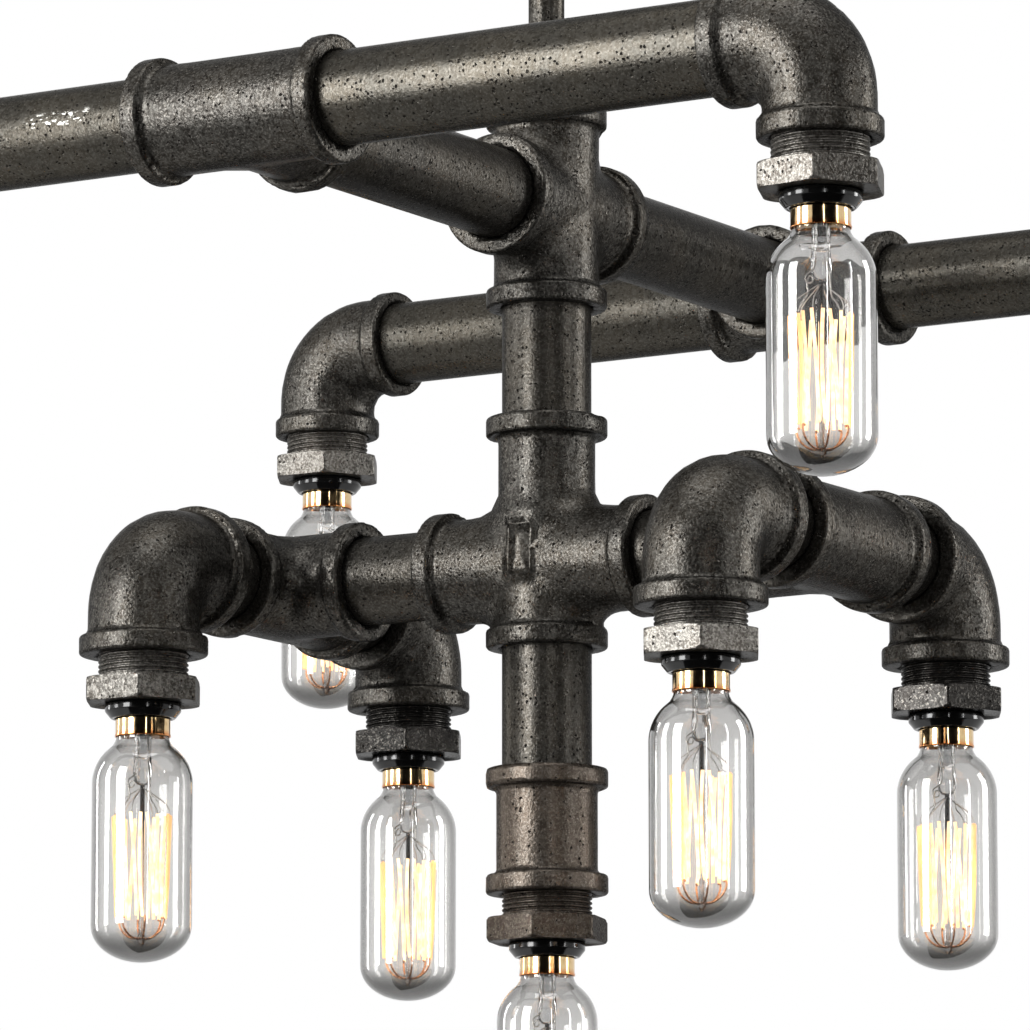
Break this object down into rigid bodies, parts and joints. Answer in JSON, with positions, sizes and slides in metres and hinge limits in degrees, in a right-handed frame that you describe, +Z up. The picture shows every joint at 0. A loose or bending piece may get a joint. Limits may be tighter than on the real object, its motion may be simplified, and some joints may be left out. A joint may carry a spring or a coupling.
{
  "type": "pipe chandelier",
  "caption": "Ceiling light of black iron pipe and pipe fittings: two long bars and four short arms on a central column, each end turned down to a clear tubular bulb.",
  "frame": {"origin": "on the ceiling plane, midway between the ceiling bracket's two screw holes", "axes": "+Z up, the fixture hangs below zero; +X along the two long bars; +Y from the front bar to the back bar"},
  "size_m": [0.6388, 0.5674, 0.8885],
  "materials": {
    "fitting_iron": "black malleable iron, pitted, semi-gloss clear coat",
    "pipe_steel": "black steel pipe, pitted, semi-gloss clear coat",
    "canopy_paint": "black, semi-gloss",
    "zinc_steel": "zinc plated",
    "holder_black": "moulded black, glossy",
    "cap_brass": "polished",
    "bulb_glass": "clear",
    "cable_sheath": "matt black"
  },
  "bodies": {
    "bracket": {"ceiling_bracket": "zinc_steel"},
    "canopy": {"canopy": "canopy_paint", "canopy_collar": "fitting_iron"},
    "fixture": {"stem_nut": "zinc_steel", "stem_pipes": "pipe_steel", "stem_coupling": "fitting_iron", "stem_bushing": "fitting_iron", "upper_cross": "fitting_iron", "lower_cross": "fitting_iron", "pipe_tees": "fitting_iron", "crossbar_pipes": "pipe_steel", "bar_pipes": "pipe_steel", "arm_nipples": "pipe_steel", "column_pipes": "pipe_steel", "drop_coupling": "fitting_iron", "wiring": "cable_sheath", "bushing_foot": "fitting_iron", "lamp_holder_foot": "holder_black"},
    "arm_upper_front_right": {"elbow_upper_front_right": "fitting_iron", "bushing_upper_front_right": "fitting_iron", "lamp_holder_upper_front_right": "holder_black"},
    "arm_upper_front_left": {"elbow_upper_front_left": "fitting_iron", "bushing_upper_front_left": "fitting_iron", "lamp_holder_upper_front_left": "holder_black"},
    "arm_upper_back_right": {"elbow_upper_back_right": "fitting_iron", "bushing_upper_back_right": "fitting_iron", "lamp_holder_upper_back_right": "holder_black"},
    "arm_upper_back_left": {"elbow_upper_back_left": "fitting_iron", "bushing_upper_back_left": "fitting_iron", "lamp_holder_upper_back_left": "holder_black"},
    "arm_lower_front_right": {"elbow_lower_front_right": "fitting_iron", "bushing_lower_front_right": "fitting_iron", "lamp_holder_lower_front_right": "holder_black"},
    "arm_lower_front_left": {"elbow_lower_front_left": "fitting_iron", "bushing_lower_front_left": "fitting_iron", "lamp_holder_lower_front_left": "holder_black"},
    "arm_lower_back_right": {"elbow_lower_back_right": "fitting_iron", "bushing_lower_back_right": "fitting_iron", "lamp_holder_lower_back_right": "holder_black"},
    "arm_lower_back_left": {"elbow_lower_back_left": "fitting_iron", "bushing_lower_back_left": "fitting_iron", "lamp_holder_lower_back_left": "holder_black"},
    "bulb_upper_front_right": {"bulb_base_upper_front_right": "cap_brass", "bulb_glass_upper_front_right": "bulb_glass"},
    "bulb_upper_front_left": {"bulb_base_upper_front_left": "cap_brass", "bulb_glass_upper_front_left": "bulb_glass"},
    "bulb_upper_back_right": {"bulb_base_upper_back_right": "cap_brass", "bulb_glass_upper_back_right": "bulb_glass"},
    "bulb_upper_back_left": {"bulb_base_upper_back_left": "cap_brass", "bulb_glass_upper_back_left": "bulb_glass"},
    "bulb_lower_front_right": {"bulb_base_lower_front_right": "cap_brass", "bulb_glass_lower_front_right": "bulb_glass"},
    "bulb_lower_front_left": {"bulb_base_lower_front_left": "cap_brass", "bulb_glass_lower_front_left": "bulb_glass"},
    "bulb_lower_back_right": {"bulb_base_lower_back_right": "cap_brass", "bulb_glass_lower_back_right": "bulb_glass"},
    "bulb_lower_back_left": {"bulb_base_lower_back_left": "cap_brass", "bulb_glass_lower_back_left": "bulb_glass"},
    "bulb_foot": {"bulb_base_foot": "cap_brass", "bulb_glass_foot": "bulb_glass"}
  },
  "joints": [
    {"name": "stem_turn", "type": "hinge", "parent": "bracket", "child": "fixture", "pos_m": [0, 0, 0], "axis": [0, 0, 1], "range_deg": [-90, 90]},
    {"name": "canopy_slide", "type": "slide", "parent": "fixture", "child": "canopy", "axis": [0, 0, -1], "range_m": [0, 0.15]},
    {"name": "swing_upper_front_right", "type": "hinge", "parent": "fixture", "child": "arm_upper_front_right", "pos_m": [0.29, -0.255, -0.42], "axis": [1, 0, 0], "range_deg": [-45, 45]},
    {"name": "swing_upper_front_left", "type": "hinge", "parent": "fixture", "child": "arm_upper_front_left", "pos_m": [-0.29, -0.255, -0.42], "axis": [1, 0, 0], "range_deg": [-45, 45]},
    {"name": "swing_upper_back_right", "type": "hinge", "parent": "fixture", "child": "arm_upper_back_right", "pos_m": [0.29, 0.255, -0.42], "axis": [1, 0, 0], "range_deg": [-45, 45]},
    {"name": "swing_upper_back_left", "type": "hinge", "parent": "fixture", "child": "arm_upper_back_left", "pos_m": [-0.29, 0.255, -0.42], "axis": [1, 0, 0], "range_deg": [-45, 45]},
    {"name": "swing_lower_front_right", "type": "hinge", "parent": "fixture", "child": "arm_lower_front_right", "pos_m": [0.15, -0.115, -0.59], "axis": [0, -1, 0], "range_deg": [-35, 45]},
    {"name": "swing_lower_front_left", "type": "hinge", "parent": "fixture", "child": "arm_lower_front_left", "pos_m": [-0.15, -0.115, -0.59], "axis": [0, 1, 0], "range_deg": [-35, 45]},
    {"name": "swing_lower_back_right", "type": "hinge", "parent": "fixture", "child": "arm_lower_back_right", "pos_m": [0.15, 0.115, -0.59], "axis": [0, -1, 0], "range_deg": [-35, 45]},
    {"name": "swing_lower_back_left", "type": "hinge", "parent": "fixture", "child": "arm_lower_back_left", "pos_m": [-0.15, 0.115, -0.59], "axis": [0, 1, 0], "range_deg": [-35, 45]},
    {"name": "unscrew_upper_front_right", "type": "slide", "parent": "arm_upper_front_right", "child": "bulb_upper_front_right", "axis": [0, 0, -1], "range_m": [0, 0.03]},
    {"name": "unscrew_upper_front_left", "type": "slide", "parent": "arm_upper_front_left", "child": "bulb_upper_front_left", "axis": [0, 0, -1], "range_m": [0, 0.03]},
    {"name": "unscrew_upper_back_right", "type": "slide", "parent": "arm_upper_back_right", "child": "bulb_upper_back_right", "axis": [0, 0, -1], "range_m": [0, 0.03]},
    {"name": "unscrew_upper_back_left", "type": "slide", "parent": "arm_upper_back_left", "child": "bulb_upper_back_left", "axis": [0, 0, -1], "range_m": [0, 0.03]},
    {"name": "unscrew_lower_front_right", "type": "slide", "parent": "arm_lower_front_right", "child": "bulb_lower_front_right", "axis": [0, 0, -1], "range_m": [0, 0.03]},
    {"name": "unscrew_lower_front_left", "type": "slide", "parent": "arm_lower_front_left", "child": "bulb_lower_front_left", "axis": [0, 0, -1], "range_m": [0, 0.03]},
    {"name": "unscrew_lower_back_right", "type": "slide", "parent": "arm_lower_back_right", "child": "bulb_lower_back_right", "axis": [0, 0, -1], "range_m": [0, 0.03]},
    {"name": "unscrew_lower_back_left", "type": "slide", "parent": "arm_lower_back_left", "child": "bulb_lower_back_left", "axis": [0, 0, -1], "range_m": [0, 0.03]},
    {"name": "unscrew_foot", "type": "slide", "parent": "fixture", "child": "bulb_foot", "axis": [0, 0, -1], "range_m": [0, 0.03]}
  ]
}
